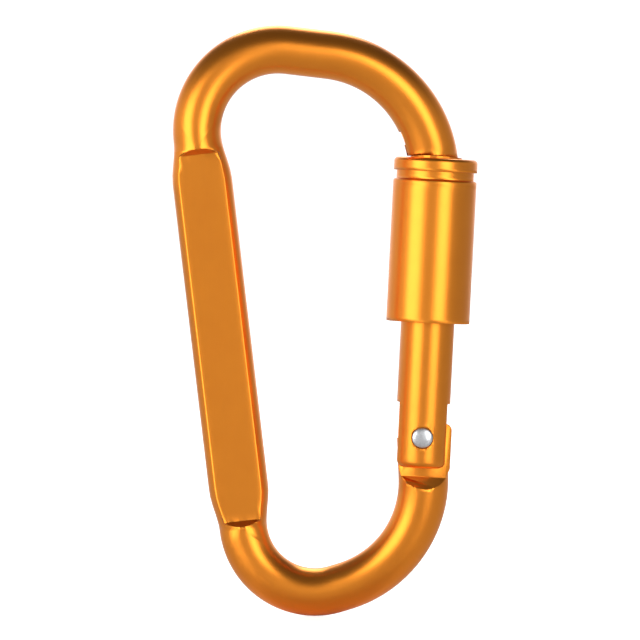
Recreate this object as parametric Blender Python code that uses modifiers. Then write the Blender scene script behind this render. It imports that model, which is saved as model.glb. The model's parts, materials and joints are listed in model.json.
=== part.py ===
"""Screw-lock carabiner keyring: a bent rod frame, a hinged gate and a screwed locking sleeve.

Metres, +Z up, in the attitude it hangs in. The frame lies in the XZ plane, its front looks
along -Y, and the origin is the inside crest of the top bow, where the ring or hook bears.
"""
import math

import bmesh
import bpy
from mathutils import Matrix, Vector

for old in list(bpy.data.objects):
    bpy.data.objects.remove(old, do_unlink=True)

# frame: a round rod bent through four corners, open between the nose and the hinge
LENGTH = 0.0801
WIDTH = 0.0386
ROD_DIAMETER = 0.0065
SPINE_BEND = 0.01098
NOSE_BEND = 0.01623
FOOT_BEND = 0.00978
HINGE_BEND = 0.01506
SPINE_CORNER_INSET = 0.0017
SPINE_CORNER_DROP = 0.00168
NOSE_CORNER_INSET = 0.0036
NOSE_CORNER_DROP = 0.00563
NOSE_END_INSET = 0.00327
NOSE_END_DROP = 0.0205
FOOT_CORNER_INSET = 0.01089
FOOT_CORNER_RISE = 0.00029
HINGE_CORNER_INSET = 0.00427
HINGE_CORNER_RISE = 0.00736
HINGE_STEM_INSET = 0.0048

# spine: the rod is pressed wide between two dies
SPINE_WIDTH = 0.0081
SPINE_THICKNESS = 0.0045
SPINE_SQUARENESS = 2.2
ROUND = 2
FLAT_TOP_GAP = 0.0020
FLAT_FOOT_GAP = 0.0012
SHOULDER_LENGTH = 0.0056
END_WALL_ANGLE = math.radians(38)

# hinge: a flat tongue on the frame, square to the closed gate, stands between its two cheeks
PIVOT_INSET = 0.00484
PIVOT_HEIGHT = 0.02435
TONGUE_THICKNESS = 0.0030
TONGUE_TOP = 0.0019
TONGUE_INNER_INSET = 0.000575
TONGUE_OUTER_PROUD = 0.00035
TONGUE_CORNER = 0.0008
TONGUE_CAM = 0.0014
TONGUE_BLEND = 0.0012
TONGUE_ROOT_INSET = 0.00065
STEP_GAP = 0.00016
STEP_ANGLE = math.radians(43)
CHEEK_GAP = 0.0001
RIVET_DIAMETER = 0.0020
RIVET_FIT = 0.00005
TONGUE_FIT = 0.00008
RIVET_HEAD_DIAMETER = 0.0028
RIVET_SEAT_DEPTH = 0.000425
RIVET_HEAD_HEIGHT = 0.00045
SEAT_GAP = 0.0001

# gate: a rod with a fork at its foot, a blind bore for the spring and a screw thread
SEAM_DROP = 0.01799
SEAM_INSET = 0.00293
GATE_DIAMETER = 0.00725
GATE_FOOT = 0.0041
GATE_FOOT_ROUND = 0.0008
FORK_GAP = 0.00049
BORE_DIAMETER = 0.0038
BORE_DEPTH = 0.0170
THREAD_INSET = 0.000125
THREAD_DEPTH = 0.00045
THREAD_PITCH = 0.0010
THREAD_CLEARANCE = 0.0001
TOOTH_BASE = 0.00062
TOOTH_CREST = 0.00018
GATE_TOP_DROP = 0.0013

# latch: a T-headed tip pressed in the gate's top end hooks into the frame's nose
SEAM_GAP = 0.0001
CAP_GAP = 0.0001
CAP_STEM_DIAMETER = 0.0030
CAP_STEM_LENGTH = 0.0045
CAP_STEM_FIT = 0.00005
LATCH_OFFSET = -0.0006
NECK_WIDTH = 0.0022
NECK_THICKNESS = 0.0011
NECK_HEIGHT = 0.00165
HEAD_WIDTH = 0.0026
HEAD_THICKNESS = 0.0020
HEAD_HEIGHT = 0.0015
LATCH_GAP = 0.00012
NOSE_SPREAD = math.radians(12)
CROWN_SPREAD = math.radians(17)

# locking sleeve: a threaded barrel on the gate, with a grooved collar at its top
MOUTH_CLEARANCE = 0.00115
MOUTH_WALL = 0.00125
SLEEVE_CLEARANCE = 0.000125
TUBE_SHOWN = 0.0156
MOUTH_DEPTH = 0.0021
COLLAR_HEIGHT = 0.00175
COLLAR_ROUND = 0.00055
GROOVE_HEIGHT = 0.00115
GROOVE_DEPTH = 0.00042
GROOVE_CHAMFER = 0.0002
NUT_THREAD_DROP = 0.0028
NUT_THREAD_LENGTH = 0.0040
SLEEVE_DOWN_TRAVEL = 0.0070

# a split wire ring in the sleeve's foot rubs on the gate
RING_WIRE = 0.0005
RING_GROOVE_SLACK = 0.0003
RING_GROOVE_DEPTH = 0.0006
RING_RISE = 0.0008
RING_FIT = 0.0001
RING_SPLIT = math.radians(24)

# spring and plunger hold the gate shut
PLUNGER_FIT = 0.0001
PLUNGER_GAP = 0.0002
PLUNGER_BODY = 0.0040
PLUNGER_SPIGOT_DIAMETER = 0.0020
PLUNGER_SPIGOT = 0.0020
PLUNGER_CHAMFER = 0.0003
SPRING_WIRE = 0.0004
SPRING_TURNS = 8
SPRING_GAP = 0.0001
SPRING_FIT = 0.0002

ROD_SIDES = 24
GATE_SIDES = 24
SLEEVE_SIDES = 36
ARC_STEP = math.radians(7.5)
SECTOR_STEP = math.radians(2)
SHOULDER_STEPS = 6
CORNER_STEPS = 5
SPRING_POINTS = 12

WELD = 1e-6
AXIS_WELD = 1e-5
SMOOTH_ANGLE = math.radians(32)
CUT_REACH = 1.5

rod_radius = ROD_DIAMETER / 2
gate_radius = GATE_DIAMETER / 2
thread_radius = gate_radius - THREAD_INSET
bore_radius = BORE_DIAMETER / 2
mouth_radius = rod_radius + MOUTH_CLEARANCE
sleeve_radius = mouth_radius + MOUTH_WALL
sleeve_bore = gate_radius + SLEEVE_CLEARANCE
cut_reach = rod_radius * CUT_REACH

# places that more than one piece uses, as (x, z) pairs
left_edge = -(SPINE_BEND + rod_radius)
right_edge = left_edge + WIDTH
top_edge = ROD_DIAMETER
bottom_edge = top_edge - LENGTH
hinge_stem_x = right_edge - HINGE_STEM_INSET
pivot = Vector((right_edge - PIVOT_INSET, bottom_edge + PIVOT_HEIGHT))
seam = Vector((right_edge - SEAM_INSET, top_edge - SEAM_DROP))
gate_length = (seam - pivot).length
gate_tilt = math.atan2(seam.x - pivot.x, seam.y - pivot.y)

# the hinge's tongue and the gate's fork clear each other at every angle of the gate
tongue_inner = gate_radius - TONGUE_INNER_INSET
tongue_outer = gate_radius + TONGUE_OUTER_PROUD
tongue_corner = Vector((tongue_outer - TONGUE_CORNER, TONGUE_TOP - TONGUE_CORNER))
fork_depth = tongue_corner.length + TONGUE_CORNER + FORK_GAP
foot_corner = Vector((gate_radius - GATE_FOOT_ROUND, GATE_FOOT - GATE_FOOT_ROUND))
tongue_step = foot_corner.length + GATE_FOOT_ROUND + STEP_GAP
rivet_seat = gate_radius - RIVET_SEAT_DEPTH

# heights along the gate, from the pivot, and reaches about it
nut_foot = gate_length - NUT_THREAD_DROP - NUT_THREAD_LENGTH
gate_top = gate_length - GATE_TOP_DROP
collar_reach = COLLAR_ROUND + math.hypot(sleeve_radius - COLLAR_ROUND, gate_length - COLLAR_ROUND)
nose_reach = collar_reach + SEAM_GAP
neck_top = collar_reach + NECK_HEIGHT
plunger_foot = TONGUE_TOP + PLUNGER_GAP
plunger_shoulder = plunger_foot + PLUNGER_BODY

parts = bpy.data.collections.new("carabiner_keyring")
cutters = bpy.data.collections.new("cutters")
bpy.context.scene.collection.children.link(parts)
bpy.context.scene.collection.children.link(cutters)


def metal(name, colour, roughness):
    """A metal finish with its base colour and roughness."""
    finish = bpy.data.materials.new(name)
    finish.use_nodes = True
    shader = finish.node_tree.nodes["Principled BSDF"]
    shader.inputs["Base Color"].default_value = (*colour, 1.0)
    shader.inputs["Metallic"].default_value = 1.0
    shader.inputs["Roughness"].default_value = roughness
    return finish


def add(name, mesh, finish=None, parent=None):
    """Put a mesh in the parts with its finish, or among the cutters when it has none."""
    piece = bpy.data.objects.new(name, mesh)
    piece.parent = parent
    if finish is None:
        cutters.objects.link(piece)
        piece.hide_render = True
        piece.display_type = "WIRE"
        return piece
    parts.objects.link(piece)
    mesh.materials.append(finish)
    mesh.shade_smooth()
    mesh.set_sharp_from_angle(angle=SMOOTH_ANGLE)
    return piece


def boolean(piece, other, operation="DIFFERENCE"):
    """Cut a solid from a piece, or join it on."""
    step = piece.modifiers.new(other.name, "BOOLEAN")
    step.operation = operation
    step.object = other
    step.solver = "EXACT"


def mesh_of(blank):
    """The welded mesh of a curve or of an object with modifiers, which is then removed."""
    bpy.context.view_layer.update()
    depsgraph = bpy.context.evaluated_depsgraph_get()
    mesh = bpy.data.meshes.new_from_object(blank.evaluated_get(depsgraph))
    shape = bmesh.new()
    shape.from_mesh(mesh)
    bmesh.ops.remove_doubles(shape, verts=shape.verts, dist=WELD)
    bmesh.ops.recalc_face_normals(shape, faces=shape.faces)
    shape.to_mesh(mesh)
    shape.free()
    mesh.name = blank.name
    bpy.data.objects.remove(blank, do_unlink=True)
    return mesh


def plate_mesh(name, outline, thickness):
    """A flat outline in the XZ plane, thickened evenly about Y = 0."""
    curve = bpy.data.curves.new(name, "CURVE")
    curve.dimensions = "2D"
    curve.fill_mode = "BOTH"
    curve.extrude = thickness / 2
    spline = curve.splines.new("POLY")
    spline.points.add(len(outline) - 1)
    for point, (x, z) in zip(spline.points, outline):
        point.co = (x, z, 0, 1)
    spline.use_cyclic_u = True
    blank = bpy.data.objects.new(name, curve)
    bpy.context.scene.collection.objects.link(blank)
    mesh = mesh_of(blank)
    mesh.transform(Matrix.Rotation(math.radians(90), 4, "X"))
    return mesh


def wire_mesh(name, points, diameter):
    """A round wire along the given points, its ends closed."""
    curve = bpy.data.curves.new(name, "CURVE")
    curve.dimensions = "3D"
    curve.bevel_depth = diameter / 2
    curve.bevel_resolution = 2
    curve.use_fill_caps = True
    spline = curve.splines.new("POLY")
    spline.points.add(len(points) - 1)
    for point, place in zip(spline.points, points):
        point.co = (*place, 1)
    blank = bpy.data.objects.new(name, curve)
    bpy.context.scene.collection.objects.link(blank)
    return mesh_of(blank)


def turned_mesh(name, profile, sides):
    """A profile of (radius, height) points, top to bottom, spun about Z."""
    mesh = bpy.data.meshes.new(name)
    edges = [(i, i + 1) for i in range(len(profile) - 1)]
    mesh.from_pydata([(radius, 0, height) for radius, height in profile], edges, [])
    blank = bpy.data.objects.new(name, mesh)
    bpy.context.scene.collection.objects.link(blank)
    spin = blank.modifiers.new("spin", "SCREW")
    spin.steps = sides
    spin.render_steps = sides
    spin.use_merge_vertices = True
    spin.merge_threshold = AXIS_WELD
    return mesh_of(blank)


def pin_mesh(name, radius, length, y=0):
    """A round pin along Y."""
    shape = bmesh.new()
    place = Matrix.Translation((0, y, 0)) @ Matrix.Rotation(math.radians(90), 4, "X")
    bmesh.ops.create_cone(
        shape, cap_ends=True, segments=GATE_SIDES,
        radius1=radius, radius2=radius, depth=length, matrix=place,
    )
    mesh = bpy.data.meshes.new(name)
    shape.to_mesh(mesh)
    shape.free()
    return mesh


def arc(centre, radius, start, end, steps):
    """Points along an arc, both ends included; angles run from +X towards +Z."""
    turns = [start + (end - start) * i / steps for i in range(steps + 1)]
    return [Vector(centre) + radius * Vector((math.cos(a), math.sin(a))) for a in turns]


def sector_mesh(name, radii, angles, thickness):
    """A plate between two arcs about the hinge pivot, its angles measured from the gate."""
    low, high = radii
    start, end = (math.pi / 2 - gate_tilt - angle for angle in angles)
    steps = math.ceil(abs(end - start) / SECTOR_STEP)
    outline = arc(pivot, low, start, end, steps) + arc(pivot, high, end, start, steps)
    return plate_mesh(name, outline, thickness)


def circle(shape, radius, height, sides):
    """One circle of a turned piece, or the single point where it meets the axis."""
    if radius == 0:
        return [shape.verts.new((0, 0, height))]
    turn = 2 * math.pi / sides
    return [
        shape.verts.new((radius * math.cos(turn * i), radius * math.sin(turn * i), height))
        for i in range(sides)
    ]


def skin(shape, one, other):
    """Faces between two neighbouring circles of a turned piece."""
    sides = max(len(one), len(other))
    for i in range(sides):
        j = (i + 1) % sides
        ring = [one[i % len(one)], one[j % len(one)], other[j % len(other)], other[i % len(other)]]
        shape.faces.new(list(dict.fromkeys(ring)))


def cut_thread(shape, low, high, root, crest, phase):
    """A helical tooth between two circles of radius root; it fades in and out at its ends."""
    sides = len(low)
    bottom = low[0].co.z + TOOTH_BASE
    start = phase + math.ceil((bottom - phase) / THREAD_PITCH) * THREAD_PITCH
    turns = math.floor((high[0].co.z - TOOTH_BASE - start) / THREAD_PITCH)
    steps = turns * sides
    fade = sides / 3
    tooth = []
    for i in range(steps + 1):
        angle = 2 * math.pi * i / sides
        middle = start + THREAD_PITCH * i / sides
        tip = root + (crest - root) * min(1, i / fade, (steps - i) / fade)
        rows = [
            (root, -TOOTH_BASE / 2), (tip, -TOOTH_CREST / 2),
            (tip, TOOTH_CREST / 2), (root, TOOTH_BASE / 2),
        ]
        tooth.append([
            shape.verts.new((r * math.cos(angle), r * math.sin(angle), middle + h)) for r, h in rows
        ])
    for here, there in zip(tooth, tooth[1:]):
        for k in range(3):
            shape.faces.new((here[k], there[k], there[k + 1], here[k + 1]))
    for i in range(steps - sides):
        shape.faces.new((tooth[i][3], tooth[i + 1][3], tooth[i + 1 + sides][0], tooth[i + sides][0]))
    # the plain strips below the first turn and above the last one each meet the tooth's end once
    last = steps - sides
    for i in range(sides):
        j = (i + 1) % sides
        below = tooth[0] if j == 0 else []
        above = tooth[steps][::-1] if i == 0 else []
        shape.faces.new((low[i], low[j], *below, tooth[i + 1][0], tooth[i][0]))
        shape.faces.new((tooth[last + i][3], tooth[last + i + 1][3], high[j], high[i], *above))


def threaded_mesh(name, profile, sides, thread_from, crest, phase=0, hollow=False):
    """A turned piece with a screw thread on the stretch after one point of its profile."""
    shape = bmesh.new()
    rings = [circle(shape, radius, height, sides) for radius, height in profile]
    following = rings[1:] + rings[:1] if hollow else rings[1:]
    for k, (one, other) in enumerate(zip(rings, following)):
        if k == thread_from:
            cut_thread(shape, one, other, profile[k][0], crest, phase)
        else:
            skin(shape, one, other)
    bmesh.ops.recalc_face_normals(shape, faces=shape.faces)
    mesh = bpy.data.meshes.new(name)
    shape.to_mesh(mesh)
    shape.free()
    return mesh


def bend(before, corner, after, radius):
    """One bend of the rod as (point, direction) pairs, both ends included."""
    back = (before - corner).normalized()
    on = (after - corner).normalized()
    half = back.angle(on) / 2
    centre = corner + (back + on).normalized() * radius / math.sin(half)
    first = corner + back * radius / math.tan(half) - centre
    sweep = math.pi - 2 * half
    steps = math.ceil(sweep / ARC_STEP)
    turns = [Matrix.Rotation(sweep * i / steps, 2) for i in range(steps + 1)]
    return [(centre + turn @ first, turn @ -back) for turn in turns]


def smooth_step(share):
    """Nought to one with level ends."""
    share = min(1, max(0, share))
    return share * share * (3 - 2 * share)


def rod_bends():
    """The rod's two ends and its four bends, in order from the nose to the hinge."""
    nose = Vector((right_edge - NOSE_END_INSET, top_edge - NOSE_END_DROP))
    stem = Vector((hinge_stem_x, pivot.y))
    corners = [
        nose,
        Vector((right_edge - NOSE_CORNER_INSET, top_edge - NOSE_CORNER_DROP)),
        Vector((left_edge + SPINE_CORNER_INSET, top_edge - SPINE_CORNER_DROP)),
        Vector((left_edge + FOOT_CORNER_INSET, bottom_edge + FOOT_CORNER_RISE)),
        Vector((right_edge - HINGE_CORNER_INSET, bottom_edge + HINGE_CORNER_RISE)),
        stem,
    ]
    radii = (NOSE_BEND, SPINE_BEND, FOOT_BEND, HINGE_BEND)
    bends = [bend(*corners[k:k + 3], radius) for k, radius in enumerate(radii)]
    return nose, bends, stem


def rod_stations():
    """Every station of the rod as (point, direction, how far it is pressed, from 0 to 1)."""
    nose, bends, stem = rod_bends()
    top, down = bends[1][-1]
    length = (bends[2][0][0] - top).length
    shoulder = [SHOULDER_LENGTH * k / SHOULDER_STEPS for k in range(1, SHOULDER_STEPS + 1)]
    spine = []
    for along in shoulder + [length - step for step in reversed(shoulder)]:
        pressed = smooth_step(min(along, length - along) / SHOULDER_LENGTH)
        spine.append((top + down * along, down, pressed))
    bent = [[(point, along, 0) for point, along in stretch] for stretch in bends]
    first = (nose, bends[0][0][1], 0)
    last = (stem, bends[3][-1][1], 0)
    return [first, *bent[0], *bent[1], *spine, *bent[2], *bent[3], last]


def rod_mesh():
    """A loft along the rod: round, and pressed wider down the spine."""
    shape = bmesh.new()
    rings = []
    for point, along, pressed in rod_stations():
        across = Vector((-along.y, along.x))
        half_width = rod_radius + (SPINE_WIDTH / 2 - rod_radius) * pressed
        power = 2 / (ROUND + (SPINE_SQUARENESS - ROUND) * pressed)
        ring = []
        for k in range(ROD_SIDES):
            turn = 2 * math.pi * k / ROD_SIDES
            side, face = (math.copysign(abs(v) ** power, v) for v in (math.cos(turn), math.sin(turn)))
            x, z = point + across * half_width * side
            ring.append(shape.verts.new((x, rod_radius * face, z)))
        rings.append(ring)
    for one, other in zip(rings, rings[1:]):
        skin(shape, one, other)
    shape.faces.new(rings[0])
    shape.faces.new(rings[-1])
    bmesh.ops.recalc_face_normals(shape, faces=shape.faces)
    mesh = bpy.data.meshes.new("frame")
    shape.to_mesh(mesh)
    shape.free()
    return mesh


def flat_cutter(name, side):
    """The die that presses one flat of the spine; side is -1 at the front and 1 behind."""
    bends = rod_bends()[1]
    top, down = bends[1][-1]
    length = (bends[2][0][0] - top).length
    half = SPINE_THICKNESS / 2
    slope = (cut_reach - half) * math.tan(END_WALL_ANGLE)
    outline = [
        (FLAT_TOP_GAP, half), (FLAT_TOP_GAP - slope, cut_reach),
        (length - FLAT_FOOT_GAP + slope, cut_reach), (length - FLAT_FOOT_GAP, half),
    ]
    mesh = plate_mesh(name, outline, SPINE_WIDTH * 2)
    along = Vector((down.x, 0, down.y))
    out = Vector((0, side, 0))
    place = Matrix((along, out.cross(along), out)).transposed().to_4x4()
    place.translation = (top.x, 0, top.y)
    mesh.transform(place)
    return add(name, mesh)


def at_hinge(mesh):
    """Move a mesh made about the pivot of an upright gate to its place in the closed gate."""
    mesh.transform(Matrix.Rotation(gate_tilt, 4, "Y"))
    mesh.transform(Matrix.Translation((pivot.x, 0, pivot.y)))


def step_cutter(name, side):
    """The metal taken off one face of the rod's end, down to a sloped step."""
    half = TONGUE_THICKNESS / 2
    foot = -tongue_step - (cut_reach - half) * math.tan(STEP_ANGLE)
    top = TONGUE_TOP + rod_radius
    outline = [
        (half * side, -tongue_step), (half * side, top),
        (cut_reach * side, top), (cut_reach * side, foot),
    ]
    mesh = plate_mesh(name, outline, cut_reach * 2)
    mesh.transform(Matrix.Rotation(math.pi / 2, 4, "Z"))
    at_hinge(mesh)
    return add(name, mesh)


def tongue_plate():
    """The hinge tongue, pressed a little wider than the rod, with a cam corner for the plunger."""
    foot = -tongue_step + TONGUE_BLEND
    root = -tongue_step - TONGUE_BLEND
    stem = hinge_stem_x - pivot.x - root * math.tan(gate_tilt)
    outline = [
        (stem - rod_radius + TONGUE_ROOT_INSET, root),
        (-tongue_inner, foot),
        (-tongue_inner, TONGUE_TOP - TONGUE_CAM),
        (TONGUE_CAM - tongue_inner, TONGUE_TOP),
        *reversed(arc(tongue_corner, TONGUE_CORNER, 0, math.pi / 2, CORNER_STEPS)),
        (tongue_outer, foot),
        (stem + rod_radius - TONGUE_ROOT_INSET, root),
    ]
    mesh = plate_mesh("tongue_plate", outline, TONGUE_THICKNESS + 2 * CHEEK_GAP)
    at_hinge(mesh)
    return add("tongue_plate", mesh)


def make_frame(finish):
    """The bent rod with its tongue, its two flats and the T-slot in its nose."""
    frame = add("frame", rod_mesh(), finish)
    boolean(frame, tongue_plate(), "UNION")
    for name, side in (("front", -1), ("back", 1)):
        boolean(frame, step_cutter(name + "_step", side))
        boolean(frame, flat_cutter(name + "_flat", side))
    hole = pin_mesh("tongue_hole", RIVET_DIAMETER / 2 + TONGUE_FIT, TONGUE_THICKNESS * 2)
    hole.transform(Matrix.Translation((pivot.x, 0, pivot.y)))
    boolean(frame, add("tongue_hole", hole))
    wide = NOSE_SPREAD
    end = (nose_reach - rod_radius, nose_reach)
    boolean(frame, add("nose_end", sector_mesh("nose_end", end, (wide, -wide), cut_reach * 2)))
    side = math.atan2(LATCH_OFFSET + HEAD_WIDTH / 2 + LATCH_GAP, neck_top)
    neck = (nose_reach - rod_radius, neck_top)
    neck_slot = NECK_THICKNESS + 2 * LATCH_GAP
    boolean(frame, add("neck_slot", sector_mesh("neck_slot", neck, (side, -wide), neck_slot)))
    corner = math.hypot(HEAD_WIDTH / 2 - LATCH_OFFSET, neck_top + HEAD_HEIGHT)
    head = (neck_top - LATCH_GAP, corner + LATCH_GAP)
    head_slot = HEAD_THICKNESS + 2 * LATCH_GAP
    boolean(frame, add("head_slot", sector_mesh("head_slot", head, (side, -wide), head_slot)))


def make_gate(finish, hinge):
    """The gate: forked and bored at its foot, threaded above, and bored for the latch's stem."""
    root = thread_radius - THREAD_DEPTH
    stem_bore = CAP_STEM_DIAMETER / 2 + CAP_STEM_FIT
    thread_foot = nut_foot - SLEEVE_DOWN_TRAVEL - THREAD_PITCH
    turn = (foot_corner.x, -foot_corner.y)
    foot = [tuple(point) for point in arc(turn, GATE_FOOT_ROUND, -math.pi / 2, 0, CORNER_STEPS)]
    profile = [
        (0, BORE_DEPTH),
        (bore_radius, BORE_DEPTH),
        (bore_radius, -GATE_FOOT),
        *foot,
        (gate_radius, thread_foot - (gate_radius - root)),
        (root, thread_foot),
        (root, gate_top),
        (stem_bore, gate_top),
        (stem_bore, gate_top - CAP_STEM_LENGTH - CAP_GAP),
        (0, gate_top - CAP_STEM_LENGTH - CAP_GAP),
    ]
    thread = profile.index((root, thread_foot))
    mesh = threaded_mesh("gate", profile, GATE_SIDES, thread, thread_radius)
    gate = add("gate", mesh, finish, hinge)
    outline = [(side * GATE_DIAMETER, z) for side, z in (
        (-1, -GATE_DIAMETER), (1, -GATE_DIAMETER), (1, fork_depth), (-1, fork_depth))]
    fork = plate_mesh("fork", outline, TONGUE_THICKNESS + 2 * CHEEK_GAP)
    boolean(gate, add("fork", fork, parent=hinge))
    hole = pin_mesh("gate_hole", RIVET_DIAMETER / 2 + RIVET_FIT, GATE_DIAMETER * CUT_REACH)
    boolean(gate, add("gate_hole", hole, parent=hinge))
    for name, side in (("front", -1), ("back", 1)):
        seat = pin_mesh(
            name + "_seat", RIVET_HEAD_DIAMETER / 2 + RIVET_FIT, gate_radius,
            side * (rivet_seat + gate_radius / 2),
        )
        boolean(gate, add(name + "_seat", seat, parent=hinge))


def make_latch_tip(finish, hinge):
    """The cap pressed in the gate's top, with its T-headed latch standing on it."""
    bottom = gate_top + CAP_GAP
    profile = [
        (0, nose_reach),
        (thread_radius, nose_reach),
        (thread_radius, bottom),
        (CAP_STEM_DIAMETER / 2, bottom),
        (CAP_STEM_DIAMETER / 2, gate_top - CAP_STEM_LENGTH),
        (0, gate_top - CAP_STEM_LENGTH),
    ]
    tip = add("latch_tip", turned_mesh("latch_tip", profile, GATE_SIDES), finish, hinge)
    above = (collar_reach, nose_reach + rod_radius)
    crown = sector_mesh("crown", above, (CROWN_SPREAD, -CROWN_SPREAD), GATE_DIAMETER)
    boolean(tip, add("crown", crown))
    for name, width, thickness, low, high in (
        ("neck", NECK_WIDTH, NECK_THICKNESS, bottom + CAP_GAP, neck_top + HEAD_HEIGHT / 2),
        ("head", HEAD_WIDTH, HEAD_THICKNESS, neck_top, neck_top + HEAD_HEIGHT),
    ):
        left, right = LATCH_OFFSET - width / 2, LATCH_OFFSET + width / 2
        outline = [(left, low), (right, low), (right, high), (left, high)]
        boolean(tip, add(name, plate_mesh(name, outline, thickness), parent=hinge), "UNION")


def make_rivet(finish, hinge):
    """The hinge rivet, along Y, with a dome peened at each end."""
    seat = rivet_seat + SEAT_GAP
    dome = [
        (RIVET_HEAD_DIAMETER / 2 * math.sin(turn), seat + RIVET_HEAD_HEIGHT * math.cos(turn))
        for turn in (math.pi / 2 * k / CORNER_STEPS for k in range(CORNER_STEPS + 1))
    ]
    dome[-1] = (RIVET_HEAD_DIAMETER / 2, seat)
    upper = dome + [(RIVET_DIAMETER / 2, seat)]
    lower = [(radius, -height) for radius, height in reversed(upper)]
    mesh = turned_mesh("hinge_rivet", upper + lower, GATE_SIDES)
    mesh.transform(Matrix.Rotation(math.radians(90), 4, "X"))
    add("hinge_rivet", mesh, finish, hinge)


def make_plunger(finish, hinge):
    """The plunger that the spring presses on the tongue, stepped to carry the spring."""
    radius = bore_radius - PLUNGER_FIT
    spigot = PLUNGER_SPIGOT_DIAMETER / 2
    profile = [
        (0, plunger_shoulder + PLUNGER_SPIGOT),
        (spigot, plunger_shoulder + PLUNGER_SPIGOT),
        (spigot, plunger_shoulder),
        (radius, plunger_shoulder),
        (radius, plunger_foot + PLUNGER_CHAMFER),
        (radius - PLUNGER_CHAMFER, plunger_foot),
        (0, plunger_foot),
    ]
    add("spring_plunger", turned_mesh("spring_plunger", profile, GATE_SIDES), finish, hinge)


def make_spring(finish, hinge):
    """The coil spring between the plunger's shoulder and the end of the gate's bore."""
    radius = bore_radius - SPRING_FIT - SPRING_WIRE / 2
    low = plunger_shoulder + SPRING_GAP + SPRING_WIRE / 2
    high = BORE_DEPTH - SPRING_GAP - SPRING_WIRE / 2
    steps = SPRING_TURNS * SPRING_POINTS
    points = []
    for k in range(steps + 1):
        turn = 2 * math.pi * k / SPRING_POINTS
        points.append((
            radius * math.cos(turn), radius * math.sin(turn), low + (high - low) * k / steps,
        ))
    add("gate_spring", wire_mesh("gate_spring", points, SPRING_WIRE), finish, hinge)


def make_sleeve(finish, hinge):
    """The locking sleeve, its foot level with the exposed tube and its top with the seam."""
    bore = sleeve_bore
    root = thread_radius + THREAD_CLEARANCE
    crest = root - THREAD_DEPTH
    step = bore - root
    ring_foot = TUBE_SHOWN + RING_RISE - (RING_WIRE + RING_GROOVE_SLACK) / 2
    ring_top = ring_foot + RING_WIRE + RING_GROOVE_SLACK
    ring_groove = sleeve_bore + RING_GROOVE_DEPTH
    nut_top = nut_foot + NUT_THREAD_LENGTH
    groove_top = gate_length - COLLAR_HEIGHT
    groove_foot = groove_top - GROOVE_HEIGHT
    edge = (sleeve_radius - COLLAR_ROUND, gate_length - COLLAR_ROUND)
    rounded = [tuple(point) for point in reversed(arc(edge, COLLAR_ROUND, 0, math.pi / 2, CORNER_STEPS))]
    profile = [
        (bore, TUBE_SHOWN),
        (bore, ring_foot),
        (ring_groove, ring_foot),
        (ring_groove, ring_top),
        (bore, ring_top),
        (bore, nut_foot - step),
        (root, nut_foot),
        (root, nut_top),
        (bore, nut_top + step),
        (bore, gate_length - MOUTH_DEPTH),
        (mouth_radius, gate_length - MOUTH_DEPTH),
        (mouth_radius, gate_length),
        *rounded,
        (sleeve_radius, groove_top),
        (sleeve_radius - GROOVE_DEPTH, groove_top),
        (sleeve_radius - GROOVE_DEPTH, groove_foot),
        (sleeve_radius - GROOVE_CHAMFER, groove_foot),
        (sleeve_radius, groove_foot - GROOVE_CHAMFER),
        (sleeve_radius, TUBE_SHOWN),
    ]
    thread = profile.index((root, nut_foot))
    mesh = threaded_mesh(
        "locking_sleeve", profile, SLEEVE_SIDES, thread, crest, THREAD_PITCH / 2, hollow=True)
    add("locking_sleeve", mesh, finish, hinge)


def make_ring(finish, hinge):
    """The split wire ring in the groove at the sleeve's foot."""
    radius = gate_radius + RING_FIT + RING_WIRE / 2
    steps = SLEEVE_SIDES
    points = []
    for k in range(steps + 1):
        turn = RING_SPLIT / 2 + (2 * math.pi - RING_SPLIT) * k / steps
        points.append((radius * math.cos(turn), radius * math.sin(turn), TUBE_SHOWN + RING_RISE))
    add("sleeve_ring", wire_mesh("sleeve_ring", points, RING_WIRE), finish, hinge)


anodised = metal("orange_anodised", (0.80, 0.27, 0.02), 0.32)
steel = metal("bright_steel", (0.62, 0.62, 0.63), 0.28)
spring_steel = metal("spring_steel", (0.45, 0.46, 0.48), 0.35)

hinge_axis = bpy.data.objects.new("hinge_axis", None)
hinge_axis.location = (pivot.x, 0, pivot.y)
hinge_axis.rotation_euler = (0, gate_tilt, 0)
parts.objects.link(hinge_axis)

make_frame(anodised)
make_gate(anodised, hinge_axis)
make_latch_tip(anodised, hinge_axis)
make_rivet(steel, hinge_axis)
make_plunger(steel, hinge_axis)
make_spring(spring_steel, hinge_axis)
make_sleeve(anodised, hinge_axis)
make_ring(spring_steel, hinge_axis)
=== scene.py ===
"""A screw-lock carabiner keyring in satin orange aluminium, standing on a white studio floor.

Metres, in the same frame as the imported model: +Z up, its front towards -Y, and the origin at
the inside crest of the top bow.
"""

import json
import math

import bmesh
import bpy
from mathutils import Matrix, Vector


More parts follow.
